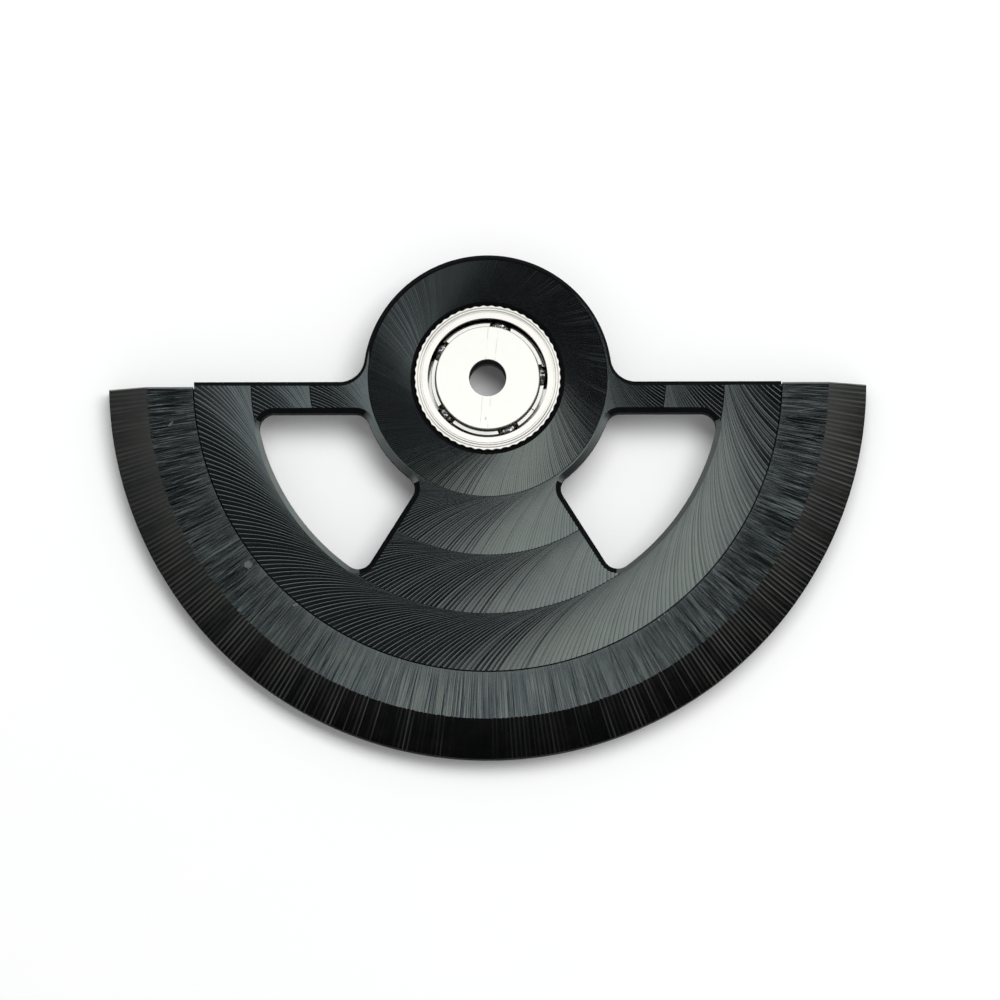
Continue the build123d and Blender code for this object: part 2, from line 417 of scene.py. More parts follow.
def swirl_cutter(number, first, last):
    """The air over one band. Its underside holds the band's grooves, a trough and a ramp at its start."""
    chance = random.Random(40 + number)
    across = 5
    pitch = TURN / GROOVES
    inner_r = BAND_START + BAND_WIDTH * number
    outer_r = inner_r + BAND_WIDTH + BAND_OVERLAP
    top = PLATE_TOP - BAND_STEP * number
    count = round((last - first) / pitch)
    full = last - first > TURN - pitch / 2
    centre_r = inner_r + CUTTER_R

    def swing(radius):
        share = (centre_r ** 2 + CUTTER_R ** 2 - radius ** 2) / (2 * centre_r * CUTTER_R)
        return math.acos(max(-1.0, min(1.0, share)))

    rows = [(inner_r - BAND_RAMP, 0.0, BAND_RAMP_RISE), (inner_r, 0.0, -BAND_TROUGH)]
    start, end = swing(inner_r + BAND_RAMP * 0.7), swing(outer_r)
    steps = 13
    for n in range(steps + 1):
        turn = start + (end - start) * n / steps
        radius = math.sqrt(centre_r ** 2 + CUTTER_R ** 2 - 2 * centre_r * CUTTER_R * math.cos(turn))
        rows.append((radius, groove_shift(inner_r, radius), 0.0))
    widest = outer_r * math.sin(groove_shift(inner_r, outer_r))
    only(None)
    bpy.ops.mesh.primitive_grid_add(x_subdivisions=count * across, y_subdivisions=len(rows) - 1, size=1)
    piece = fresh("swirl_cutter")
    depths = [chance.uniform(*GROOVE_DEPTHS) for _ in range(count)]
    crests = [chance.uniform(-CREST_LOSS, 0.0) for _ in range(count)]
    columns = count * across + 1
    slope, crest_share = (GROOVE_SLOPE, GROOVE_CREST) if number else (HUB_GROOVE_SLOPE, HUB_GROOVE_CREST)
    crest_start = 1 - crest_share
    deepest = crest_start - GROOVE_STEEP
    shares = [0.0, 0.35 * deepest, 0.70 * deepest, deepest, crest_start]
    falls = [(share / deepest) ** GROOVE_HOLLOW for share in shares[:-1]] + [0.0]
    for index, vert in enumerate(piece.data.vertices):
        row, column = divmod(index, columns)
        radius, shift, lift = rows[row]
        groove, part = divmod(column, across)
        groove %= count
        share = shares[part]
        width = radius * math.sin(shift) / widest
        angle = first + pitch * (column // across + share) - shift
        gap = pitch * radius * math.sin(shift) * centre_r / CUTTER_R
        fall = slope * deepest * gap * width ** GROOVE_GROWTH * depths[groove]
        crest = crests[groove] * (1 - share) + crests[(groove + 1) % count] * share
        height = top + lift - fall * falls[part] + crest * width
        vert.co = (radius * math.cos(angle), radius * math.sin(angle), height)
    edit(piece)
    if full:
        bpy.ops.mesh.remove_doubles(threshold=SAME_PLACE)
    rise = 0.5
    bpy.ops.mesh.extrude_region_move(TRANSFORM_OT_translate={"value": (0, 0, rise)})
    bpy.ops.transform.resize(value=(1, 1, 0), center_override=(0, 0, PLATE_TOP + rise))
    bpy.ops.mesh.select_all(action="SELECT")
    bpy.ops.mesh.normals_make_consistent(inside=False)
    bpy.ops.object.mode_set(mode="OBJECT")
    return piece


def rotor_plate():
    """Plate with blind holes for the rivets, cut from above by the swirl cutter, band by band."""
    piece = plate_blank()
    for angle in RIVET_ANGLES:
        place = on_circle(RIVET_CIRCLE_R, angle)
        carve(piece, cylinder("rivet_hole", RIVET_R, PLATE_BOTTOM - 0.2, RIVET_TOP, place))
    for number in range(BAND_COUNT):
        carve(piece, swirl_cutter(number, *(ARM_REACH if number else HUB_REACH)))
    return piece


# Rim

def rim_weight():
    """Heavy rim, turned in many steps so that its ribs are real, then cut to its two ends."""
    chance = random.Random(7)
    profile = [
        (LEDGE_R, LEDGE_BOTTOM), (LEDGE_R, PLATE_BOTTOM), (RIM_INNER_R, PLATE_BOTTOM),
        (RIM_INNER_R, RIM_TOP - SEAM_BREAK), (RIM_INNER_R + SEAM_BREAK, RIM_TOP), (RIM_BEVEL_R, RIM_TOP),
        (BEVEL_MIDDLE_R, RIM_TOP - BEVEL_MIDDLE_DROP), (RIM_R, RIM_TOP - RIM_BEVEL_DROP),
        (RIM_R, RIM_BOTTOM + FOOT_BREAK), (RIM_R - FOOT_BREAK, RIM_BOTTOM),
        (SKIRT_R, RIM_BOTTOM), (SKIRT_R, LEDGE_BOTTOM),
    ]
    across = 4
    piece = turned("ribbed_rim", profile, RIB_COUNT * across, math.pi)
    bevel_cuts = [chance.uniform(0.35, 1.1) for _ in range(RIB_COUNT)]
    flat_cuts = [chance.uniform(0.2, 1.0) for _ in range(RIB_COUNT)]
    for vert in piece.data.vertices:
        radius = math.hypot(vert.co.x, vert.co.y)
        steps = round(-math.atan2(vert.co.y, vert.co.x) / math.pi * RIB_COUNT * across)
        rib, part = divmod(steps % (RIB_COUNT * across), across)
        scallop = 4 * part / across * (1 - part / across)
        cut = RIB_DEPTH * scallop * bevel_cuts[rib]
        if vert.co.z > RIM_TOP - 1e-4:
            vert.co.z -= FLAT_RIB_DEPTH * scallop * flat_cuts[rib]
            if radius > RIM_BEVEL_R - 0.01:
                inward = 1 - cut / math.sin(RIM_BEVEL_SLOPE) / radius
                vert.co.x *= inward
                vert.co.y *= inward
        elif radius > RIM_BEVEL_R and vert.co.z > 0.5:
            vert.co.z -= cut / math.cos(RIM_BEVEL_SLOPE)
    far, deep = 20, 5
    carve(piece, block("left_end", (-far, LEFT_END, -deep), (0, far, deep)))
    carve(piece, block("right_end", (0, RIGHT_END, -deep), (far, far, deep)))
    for side, end_y in ((-1, LEFT_END), (1, RIGHT_END)):
        for slope in (0.0, RIM_BEVEL_SLOPE):
            wedge = block("wedge", (-4, -1, 0), (4, 1, 1))
            turn = Matrix.Rotation(side * slope, 4, "Y") @ Matrix.Rotation(-math.pi / 4, 4, "X")
            corner = (side * RIM_BEVEL_R, end_y - END_BREAK / 2, RIM_TOP - END_BREAK / 2)
            wedge.data.transform(Matrix.Translation(corner) @ turn)
            carve(piece, wedge)
    low, high = LEDGE_BOTTOM - 0.2, PLATE_BOTTOM + 0.15
    section = [(0, low), (RIVET_HEAD_R, low), (RIVET_HEAD_R, LEDGE_BOTTOM), (RIVET_R, RIVET_HEAD_TOP)]
    section += [(RIVET_R, high), (0, high)]
    for angle in RIVET_ANGLES:
        hole = turned("rivet_hole", section, 64)
        hole.data.transform(Matrix.Translation((*on_circle(RIVET_CIRCLE_R, angle), 0)))
        carve(piece, hole)
    return piece


# Bearing

def ring_track(first, last, count):
    """Section of the groove that the balls run in, from one angle in degrees to another."""
    return arc((BALL_CIRCLE_R, BALL_Z), TRACK_R, math.radians(first), math.radians(last), count)


def track_opening(wall_r):
    """Angle in degrees at which the section of the track meets a wall."""
    return math.degrees(math.acos((wall_r - BALL_CIRCLE_R) / TRACK_R))


def bearing_outer_ring():
    """Outer ring: ball track, bright land, fine groove, turned lip, serrated edge, flange and neck."""
    lip_z = RING_TOP - LIP_DROP
    groove_z = RING_TOP - LAND_GROOVE_DEPTH
    lip = [(LIP_R, lip_z)]
    for radius in LIP_GROOVES:
        lip += [(radius - LIP_GROOVE_HALF, lip_z), (radius, lip_z - LIP_GROOVE_DEPTH)]
        lip += [(radius + LIP_GROOVE_HALF, lip_z)]
    opening = track_opening(BORE_R)
    profile = [(BORE_R, BORE_BOTTOM)] + ring_track(-opening, opening, 16)
    profile += [(BORE_R, RING_TOP - LIP_BREAK), (BORE_R + LIP_BREAK, RING_TOP)]
    profile += [(LAND_R - 0.007, RING_TOP), (LAND_R, lip_z)]
    profile += [(LAND_R + 0.004, groove_z), (LIP_R, groove_z)] + lip
    profile += [(RING_R - LIP_BREAK, lip_z), (RING_R, lip_z - LIP_BREAK), (RING_R, PLATE_BOTTOM)]
    profile += [(FLANGE_R - TURNED_BREAK, PLATE_BOTTOM), (FLANGE_R, PLATE_BOTTOM - TURNED_BREAK)]
    profile += [(FLANGE_R, FLANGE_BOTTOM + TURNED_BREAK), (FLANGE_R - TURNED_BREAK, FLANGE_BOTTOM)]
    profile += [(NECK_R, FLANGE_BOTTOM), (NECK_R, NECK_BOTTOM + TURNED_BREAK)]
    profile += [(NECK_R - TURNED_BREAK, NECK_BOTTOM), (NECK_BORE_R + TURNED_BREAK, NECK_BOTTOM)]
    profile += [(NECK_BORE_R, NECK_BOTTOM + TURNED_BREAK), (NECK_BORE_R, BORE_BOTTOM)]
    across = 8
    piece = turned("serrated_ring", profile, SERRATIONS * across)
    for vert in piece.data.vertices:
        radius = math.hypot(vert.co.x, vert.co.y)
        if radius > SERRATED_FROM and vert.co.z > PLATE_BOTTOM + 0.01:
            part = round(math.atan2(vert.co.y, vert.co.x) / TURN * SERRATIONS * across) % across
            valley = SERRATION_DEPTH * (1 - math.cos(TURN * part / across)) / 2
            nearness = min(1.0, (radius - SERRATED_FROM) / SERRATION_RUN)
            vert.co.x *= 1 - valley * nearness / radius
            vert.co.y *= 1 - valley * nearness / radius
    return piece


def inner_ring_upper():
    """Upper half of the inner ring: a flat disc with the screw hole, on a hollow spigot."""
    rounded = 0.3 * INNER_ROUNDING
    profile = [(HOLE_R, TURNED_BREAK), (HOLE_R, INNER_TOP - HOLE_BREAK_DROP)]
    profile += [(HOLE_R + HOLE_BREAK, INNER_TOP), (INNER_R - INNER_ROUNDING, INNER_TOP)]
    profile += [(INNER_R - rounded, INNER_TOP - rounded), (INNER_R, INNER_TOP - INNER_ROUNDING)]
    profile += ring_track(track_opening(INNER_R), 180, 10) + [(SPIGOT_R, BALL_Z), (SPIGOT_R, TURNED_BREAK)]
    profile += [(SPIGOT_R - TURNED_BREAK, 0.0), (HOLE_R + TURNED_BREAK, 0.0)]
    return turned("screw_face_ring", profile, 192)


def inner_ring_lower():
    """Lower half of the inner ring, fitted round the spigot, with the seat under it."""
    profile = [(SPIGOT_R, TURNED_BREAK), (SPIGOT_R, BALL_Z)]
    profile += ring_track(180, 360 - track_opening(INNER_R), 10)
    profile += [(INNER_R, SEAT_TOP + TURNED_BREAK), (INNER_R - TURNED_BREAK, SEAT_TOP), (SEAT_R, SEAT_TOP)]
    profile += [(SEAT_R, TURNED_BREAK), (SEAT_R - TURNED_BREAK, 0.0), (SPIGOT_R + TURNED_BREAK, 0.0)]
    return turned("seat_ring", profile, 192)


def ball_cage():
    """Cage: a thin ring with a pocket for each ball, open at the top, and one split."""
    break_in, break_out = CAGE_INNER_R + CAGE_BREAK, CAGE_OUTER_R - CAGE_BREAK
    break_low, break_high = CAGE_BOTTOM + CAGE_BREAK, CAGE_TOP - CAGE_BREAK
    profile = [(CAGE_INNER_R, break_low), (CAGE_INNER_R, break_high), (break_in, CAGE_TOP)]
    profile += [(break_out, CAGE_TOP), (CAGE_OUTER_R, break_high), (CAGE_OUTER_R, break_low)]
    profile += [(break_out, CAGE_BOTTOM), (break_in, CAGE_BOTTOM)]
    piece = turned("split_cage", profile, 180)
    pocket_r = BALL_R + POCKET_PLAY
    inside, outside, above = 1.4, 2.4, 2.0
    for angle in BALL_ANGLES:
        turn = Matrix.Rotation(angle, 4, "Z")
        middle = turn @ Matrix.Translation((BALL_CIRCLE_R, 0, BALL_Z))
        hole = cylinder("pocket", pocket_r, -0.5, 0.5)
        hole.data.transform(middle @ Matrix.Rotation(math.pi / 2, 4, "Y"))
        carve(piece, hole)
        mouth = block("mouth", (inside, -pocket_r, BALL_Z), (outside, pocket_r, above))
        mouth.data.transform(turn)
        carve(piece, mouth)
    split = block("split", (inside, -SPLIT_HALF_WIDTH, 0), (outside, SPLIT_HALF_WIDTH, above))
    split.data.transform(Matrix.Rotation(SPLIT_ANGLE, 4, "Z"))
    carve(piece, split)
    return piece


def ball(name):
    """A ball about the origin, made from a subdivided cube."""
    only(None)
    bpy.ops.mesh.primitive_cube_add(size=1)
    piece = fresh(name)
    edit(piece)
    bpy.ops.mesh.subdivide(number_cuts=11)
    bpy.ops.object.mode_set(mode="OBJECT")
    for vert in piece.data.vertices:
        vert.co = vert.co.normalized() * BALL_R
    return piece


def winding_gear():
    """Toothed ring under the hub. Its teeth are drawn out of a plain ring of the pitch radius."""
    bore_r, top = NECK_R, FLANGE_BOTTOM
    tip, pitch, root = GEAR_TIP_R, GEAR_PITCH_R, GEAR_ROOT_R
    profile = [(bore_r, GEAR_BOTTOM + TURNED_BREAK), (bore_r, top - TURNED_BREAK)]
    profile += [(bore_r + TURNED_BREAK, top), (pitch, top), (pitch, GEAR_BOTTOM)]
    profile += [(bore_r + TURNED_BREAK, GEAR_BOTTOM)]
    radii = [tip, tip, tip - 0.01, pitch, root + 0.015, root, root + 0.015, pitch, tip - 0.01, tip]
    across = len(radii)
    piece = turned("toothed_ring", profile, GEAR_TEETH * across)
    for vert in piece.data.vertices:
        radius = math.hypot(vert.co.x, vert.co.y)
        if radius > pitch - 0.1:
            part = round(math.atan2(vert.co.y, vert.co.x) / TURN * GEAR_TEETH * across) % across
            vert.co.x *= radii[part] / radius
            vert.co.y *= radii[part] / radius
    return piece


def rim_rivet(name):
    """Countersunk rivet about the origin, with a shallow dimple in its head."""
    face = LEDGE_BOTTOM + 0.002
    profile = [(0.0, face + 0.010), (0.06, face), (RIVET_HEAD_R - 0.02, face)]
    profile += [(RIVET_HEAD_R - 0.002, face + 0.010), (RIVET_R, RIVET_HEAD_TOP)]
    profile += [(RIVET_R, RIVET_TOP - 0.02), (RIVET_R - 0.02, RIVET_TOP), (0.0, RIVET_TOP)]
    return turned(name, profile, 64)


# Finishes

class Wire:
    """A value socket on which sums, products and comparisons are written as expressions."""

    def __init__(self, finish, socket):
        self.finish = finish
        self.socket = socket

    def join(self, operation, *others):
        return self.finish.maths(operation, self, *others)

    def __add__(self, other):
        return self.join("ADD", other)

    def __radd__(self, other):
        return self.finish.maths("ADD", other, self)

    def __sub__(self, other):
        return self.join("SUBTRACT", other)

    def __rsub__(self, other):
        return self.finish.maths("SUBTRACT", other, self)

    def __mul__(self, other):
        return self.join("MULTIPLY", other)

    def __rmul__(self, other):
        return self.finish.maths("MULTIPLY", other, self)

    def __truediv__(self, other):
        return self.join("DIVIDE", other)

    def __rtruediv__(self, other):
        return self.finish.maths("DIVIDE", other, self)

    def __lt__(self, other):
        return self.join("LESS_THAN", other)

    def __neg__(self):
        return self.finish.maths("MULTIPLY", self, -1.0)


class Finish:
    """A node tree: a piece's surface, or the studio round it."""

    def __init__(self, name, tree=None):
        if tree is None:
            self.material = bpy.data.materials.new(name)
            self.material.use_nodes = True
            tree = self.material.node_tree
        self.tree = tree
        tree.nodes.clear()

    def node(self, kind, settings=None, values=None, output=0):
        """Adds a node, makes its settings, fills its sockets by name or number, and gives one output."""
        made = self.tree.nodes.new(kind)
        for key, value in (settings or {}).items():
            setattr(made, key, value)
        for key, value in (values or {}).items():
            if isinstance(value, Wire):
                self.tree.links.new(value.socket, made.inputs[key])
            else:
                made.inputs[key].default_value = value
        return Wire(self, made.outputs[output]) if made.outputs else made

    def maths(self, operation, *values):
        return self.node("ShaderNodeMath", {"operation": operation}, dict(enumerate(values)))

    def hypot(self, first, second):
        return self.maths("SQRT", first * first + second * second)

    def vector(self, operation, *values):
        return self.node("ShaderNodeVectorMath", {"operation": operation}, dict(enumerate(values)))

    def scale(self, vector, by):
        return self.node("ShaderNodeVectorMath", {"operation": "SCALE"}, {"Vector": vector, "Scale": by})

    def combine(self, x, y, z):
        return self.node("ShaderNodeCombineXYZ", None, {"X": x, "Y": y, "Z": z})

    def split(self, vector):
        parts = self.node("ShaderNodeSeparateXYZ", None, {"Vector": vector})
        outputs = parts.socket.node.outputs
        return [Wire(self, outputs[name]) for name in "XYZ"]

    def ease(self, value, low, high):
        """Rises smoothly from 0 to 1 between low and high."""
        settings = {"interpolation_type": "SMOOTHSTEP"}
        return self.node("ShaderNodeMapRange", settings, {"Value": value, "From Min": low, "From Max": high})

    def noise(self, size, detail=2.0, vector=None):
        values = {"Scale": 1 / size, "Detail": detail}
        values["Vector"] = self.millimetres() if vector is None else vector
        return self.node("ShaderNodeTexNoise", None, values)

    def line_noise(self, along):
        """Noise that changes with one value alone, so that it draws lines."""
        settings = {"noise_dimensions": "1D"}
        return self.node("ShaderNodeTexNoise", settings, {"W": along, "Scale": 1.0, "Detail": 2.0})

    def millimetres(self):
        place = self.node("ShaderNodeTexCoord", output="Object")
        return self.scale(place, 1 / MM)

    def flat_place(self):
        """A place's x, y and distance from the axis, in millimetres."""
        x, y, _ = self.split(self.millimetres())
        return x, y, self.hypot(x, y)

    def mix(self, share, first, second):
        """Mixes two colours by a share."""
        settings = {"data_type": "RGBA"}
        return self.node("ShaderNodeMix", settings, {0: share, 6: first, 7: second}, output=2)

    def patchy(self, shades, size, detail=2.0, low=0.35):
        """A colour that wanders between two shades in patches of a size."""
        return self.mix(self.ease(self.noise(size, detail), low, 1.0 - low), *shades)

    def tilted(self, direction, slope):
        """The surface's normal, leaned against a direction in the piece's own frame by a slope."""
        settings = {"vector_type": "VECTOR", "convert_from": "OBJECT", "convert_to": "WORLD"}
        turned_with = self.node("ShaderNodeVectorTransform", settings, {"Vector": direction})
        normal = self.node("ShaderNodeNewGeometry", output="Normal")
        leaned = self.vector("SUBTRACT", normal, self.scale(turned_with, slope))
        return self.vector("NORMALIZE", leaned)

    def metal(self, colour, roughness, normal=None, bare=1.0):
        """Finishes the tree as metal. Where the bare share is under 1, the rest is a pale satin skin."""
        return self.surface({"Base Color": colour, "Metallic": bare, "Roughness": roughness}, normal)

    def matt(self, colour, roughness):
        """Finishes the tree as a dull coat."""
        return self.surface({"Base Color": colour, "Roughness": roughness, "Specular IOR Level": 0.02})

    def surface(self, values, normal=None):
        if normal is not None:
            values["Normal"] = normal
        surface = self.node("ShaderNodeBsdfPrincipled", None, values)
        self.node("ShaderNodeOutputMaterial", None, {"Surface": surface})
        return self.material


COATING_SHADES = ((0.154, 0.176, 0.168, 1), (0.166, 0.190, 0.176, 1))
RIM_SHADES = ((0.142, 0.162, 0.155, 1), (0.153, 0.175, 0.162, 1))
# Painted shade: the rim's bevel is the same coating as its flat, given under half the flat's tone
RIM_BEVEL_PAINTED_SHADES = ((0.064, 0.067, 0.064, 1), (0.077, 0.078, 0.072, 1))
UNDERSIDE_SHADES = ((0.068, 0.072, 0.074, 1), (0.078, 0.083, 0.085, 1))
# Painted shade: the near-black dull coat on walls and outer bevels, far darker than the coating it stands
# for
EDGE_PAINTED_SHADES = ((0.004, 0.0044, 0.0048, 1), (0.005, 0.0055, 0.006, 1))
WORN = (0.48, 0.52, 0.50, 1)
STEEL = (0.92, 0.89, 0.79, 1)
STEEL_CAGE = (0.93, 0.91, 0.80, 1)
STEEL_RIVET = (0.55, 0.55, 0.54, 1)
DISC_SHADES = ((0.89, 0.87, 0.78, 1), STEEL)
DISC_MARK = (0.30, 0.30, 0.27, 1)
# Painted light in the screw hole: near-black painted shade, and a paler painted reflection of the floor near
# its lower end
HOLE_PAINTED_SHADES = ((0.02, 0.02, 0.022, 1), (0.035, 0.035, 0.036, 1))
HOLE_PAINTED_REFLECTION = (0.22, 0.23, 0.23, 1)
# Painted shade: the outer ring's bore and ball track near-black, for the dark gap round the cage
TRACK_PAINTED_SHADES = ((0.022, 0.021, 0.019, 1), (0.040, 0.038, 0.034, 1))
BALL_SHADES = ((0.90, 0.90, 0.87, 1), (0.95, 0.95, 0.93, 1))
BRASS_SHADES = ((0.66, 0.49, 0.24, 1), (0.76, 0.60, 0.34, 1))
BARE_STEEL = 0.7
TURNING_LINES = 30.0

# Worn spots: x, y, size, how far drawn out, and which way in degrees
RIM_SPOTS = (
    (-8.16, -6.41, 0.15, 1.0, 0), (-10.82, -1.56, 0.04, 3.2, 50), (-6.56, -7.78, 0.05, 2.0, 20),
    (5.80, -8.32, 0.045, 1.0, 0), (6.00, -8.13, 0.035, 1.0, 0),
)
DISC_NICK = ((-0.07, -1.41, 0.03, 2.2, 90),)

# Hairlines on the disc: x at the middle, and slant
DISC_HAIRLINES = ((-0.123, 0.085), (0.18, 0.11))


def turning_lines(finish, lines, strength):
    """The normal of a surface with fine turning lines round the axis, so many to a millimetre."""
    x, y, radius = finish.flat_place()
    fine = finish.line_noise(radius * lines) - 0.5
    return finish.tilted(finish.combine(x / radius, y / radius, 0.0), fine * strength)


def scuffs(finish, spots):
    """Share of small worn spots, with ragged edges."""
    x, y, _ = finish.split(finish.millimetres())
    ragged = finish.noise(0.07) * 1.2 - 0.6
    total = None
    for spot_x, spot_y, size, drawn, way in spots:
        across, along = math.sin(math.radians(way)), math.cos(math.radians(way))
        far = ((x - spot_x) * along + (y - spot_y) * across) / drawn
        off = (y - spot_y) * along - (x - spot_x) * across
        away = finish.hypot(far, off) / size + ragged
        spot = 1.0 - finish.ease(away, 0.75, 1.05)
        total = spot if total is None else finish.maths("MAXIMUM", total, spot)
    return total


def swirl_coating():
    """Black coating on the swirl grooves, with fine lines that follow each groove."""
    f = Finish("swirl_coating")
    x, y, radius = f.flat_place()
    band = f.maths("FLOOR", (radius - BAND_START) / BAND_WIDTH)
    centre_r = BAND_START + CUTTER_R + band * BAND_WIDTH
    share = (radius * radius + centre_r * centre_r - CUTTER_R ** 2) / (2.0 * radius * centre_r)
    start = f.maths("ARCTAN2", y, x) + f.maths("ARCCOSINE", f.maths("MINIMUM", share, 1.0))
    centre_x = centre_r * f.maths("COSINE", start)
    centre_y = centre_r * f.maths("SINE", start)
    across = f.combine((centre_x - x) / CUTTER_R, (centre_y - y) / CUTTER_R, 0.0)
    groove = start * GROOVES / TURN
    fine = f.line_noise(groove * FINE_LINES + band * 17.0) - 0.5
    on_hub = band < 0.5
    slope = fine * FINE_SLOPE * (1.0 - 0.4 * on_hub)
    roughness = 0.09 + 0.07 * f.noise(0.5) + 0.05 * on_hub
    return f.metal(f.patchy(COATING_SHADES, 1.6, 3.0), roughness, f.tilted(across, slope))


def ribbed_coating(name, shades, fine_slope, coarse_slope, roughness):
    """Black coating on the rim's flat or its bevel, with fine radial lines and a few worn spots."""
    f = Finish(name)
    x, y, radius = f.flat_place()
    angle = f.maths("ARCTAN2", y, x)
    around = f.combine(-y / radius, x / radius, 0.0)
    fine = f.noise(1.0, 1.5, f.combine(angle * 360.0, radius * 0.4, 0.0)) - 0.5
    coarse = f.noise(1.0, 1.0, f.combine(angle * 110.0, radius * 0.25, 4.0)) - 0.5
    slope = fine * fine_slope + coarse * coarse_slope
    worn = scuffs(f, RIM_SPOTS)
    colour = f.mix(worn * 0.9, f.patchy(shades, 1.3, 3.0), WORN)
    return f.metal(colour, roughness + 0.10 * f.noise(0.4) + 0.2 * worn, f.tilted(around, slope))


def smooth_coating():
    """Black coating on the undersides, with faint turning lines."""
    f = Finish("smooth_coating")
    colour = f.patchy(UNDERSIDE_SHADES, 0.9)
    return f.metal(colour, 0.33 + 0.08 * f.noise(0.35), turning_lines(f, 26.0, 0.14))


def edge_painted_shade_coating():
    """Near-black dull coat on walls and outer bevels: painted shade, a darker copy of the black coating that
    barely reflects.
    """
    f = Finish("edge_painted_shade_coating")
    return f.matt(f.patchy(EDGE_PAINTED_SHADES, 0.3), 0.48 + 0.08 * f.noise(0.1))


def bevel_coating():
    """Black coating on the polished bevels."""
    f = Finish("bevel_coating")
    return f.metal(f.patchy(COATING_SHADES, 0.7, low=0.4), 0.10 + 0.12 * f.noise(0.25, 3.0))


def turned_steel(name, colour, strength, roughness):
    """Steel with fine turning lines round the axis."""
    f = Finish(name)
    dark = [part * 0.97 for part in colour[:3]] + [1]
    shade = f.patchy((dark, colour), 0.4, low=0.3)
    lines = turning_lines(f, TURNING_LINES, strength)
    return f.metal(shade, roughness + 0.04 * f.noise(0.15), lines, BARE_STEEL)


def disc_steel():
    """Bright lapped steel on the flat disc, with two hairlines and a nick."""
    f = Finish("screw_face_steel")
    x, y, _ = f.split(f.millimetres())
    broken = f.ease(f.noise(0.35, 1.0), 0.40, 0.56)
    marks = scuffs(f, DISC_NICK) * 0.6
    for middle, slant in DISC_HAIRLINES:
        away = f.maths("ABSOLUTE", x - (middle + y * slant))
        marks = marks + (1.0 - f.ease(away, 0.003, 0.014)) * broken * 0.6
    shade = f.mix(f.noise(0.4), *DISC_SHADES)
    colour = f.mix(f.maths("MINIMUM", marks, 1.0), shade, DISC_MARK)
    return f.metal(colour, 0.07 + 0.03 * f.noise(0.15), bare=BARE_STEEL)


def screw_bore_painted_light():
    """Dull steel in the screw hole, painted dark as shade, and paler near its lower end as a painted
    reflection of the floor.
    """
    f = Finish("screw_bore_painted_light")
    height = f.split(f.millimetres())[2]
    colour = f.mix(f.ease(height, 0.30, 0.55), HOLE_PAINTED_REFLECTION, f.mix(f.noise(0.1), *HOLE_PAINTED_SHADES))
    return f.matt(colour, 0.5 + 0.1 * f.noise(0.1))


def track_painted_shade_finish():
    """Ground steel of the ball track and bore, painted near-black as shade in the gap round the cage."""
    f = Finish("track_painted_shade")
    return f.metal(f.mix(f.noise(0.25), *TRACK_PAINTED_SHADES), 0.24 + 0.08 * f.noise(0.12))


def polished_steel():
    """Bright polished steel of the balls."""
    f = Finish("ball_polish")
    return f.metal(f.mix(f.noise(0.2), *BALL_SHADES), 0.14 + 0.04 * f.noise(0.08))


def satin_brass():
    """Satin brass of the gear, with fine turning lines."""
    f = Finish("gear_brass")
    colour = f.mix(f.noise(0.5), *BRASS_SHADES)
    return f.metal(colour, 0.22 + 0.12 * f.noise(0.2), turning_lines(f, TURNING_LINES, 0.12))


coat_swirl = swirl_coating()
# Painted shade on walls and outer bevels
coat_edge_painted_shade = edge_painted_shade_coating()
coat_ribbed = ribbed_coating("ribbed_coating", RIM_SHADES, 1.4, 0.07, 0.10)
# The rim's bevel: the same ribbed coating, darkened as painted shade
coat_rim_bevel_painted_shade = ribbed_coating("rim_bevel_painted_shade_coating", RIM_BEVEL_PAINTED_SHADES, 0.5, 0.12, 0.18)
coat_smooth = smooth_coating()
coat_bevel = bevel_coating()
steel = turned_steel("bearing_steel", STEEL, 0.02, 0.07)
cage_steel = turned_steel("cage_steel", STEEL_CAGE, 0.01, 0.06)
# Painted shade on the outer ring's bore and ball track
track_painted_shade = track_painted_shade_finish()
# Painted shade and painted floor reflection in the screw hole
bore_painted_light = screw_bore_painted_light()
face_steel = disc_steel()
rivet_steel = turned_steel("rivet_steel", STEEL_RIVET, 0.12, 0.25)
ball_polish = polished_steel()
brass = satin_brass()


def plate_finish(middle, normal):
    """Underside is 0, the polished bevels on the windows' arcs 1, swirl grooves 2, and the rest 3.

    The rest is walls, the other bevels and the strip of the top that no band of grooves reaches; it gets the
    near-black dull coat that paints it as shaded.
    """
    if normal.z < -0.5:
        return 0
    if normal.z > 0.93:
        return 2 if middle.z < PLATE_TOP + SPARE_TOP - 0.001 else 3
    in_windows = middle.y < -EDGE_DROP - ARM_WIDTH and middle.xy.length > RING_R + BEVEL_WIDTH * 1.1
    on_arc = abs(normal.xy.normalized().dot(middle.xy.normalized())) > 0.8
    return 1 if 0.80 < normal.z < 0.90 and in_windows and on_arc else 3


def rim_finish(middle, normal):
    """Underside is 0, the ribbed top 1, the bevel 2 with its painted shade, walls 3 with the near-black
    painted shade, the broken edges of the ends 4.
    """
    if normal.z < -0.5:
        return 0
    if normal.z < 0.5 or middle.z < 0.5 or middle.xy.length < RIM_INNER_R:
        return 3
    if normal.y > 0.5:
        return 4
    return 1 if normal.z > 0.97 else 2


def ring_finish(middle, normal):
    """The bore and the ball track of the outer ring are 1, painted near-black as shade, and the rest 0."""
    inside = middle.z < RING_TOP - 0.008 and middle.xy.length < LAND_R + 0.01
    return 1 if inside and normal.xy.dot(middle.xy) < -0.05 else 0


def disc_finish(middle, normal):
    """The flat disc is 1, the screw hole's wall 2, with its painted shade and painted floor reflection, and
    the rest 0.
    """
    if middle.z > INNER_TOP - 0.001:
        return 1
    return 2 if middle.xy.length < HOLE_R + 0.001 and abs(normal.z) < 0.1 else 0


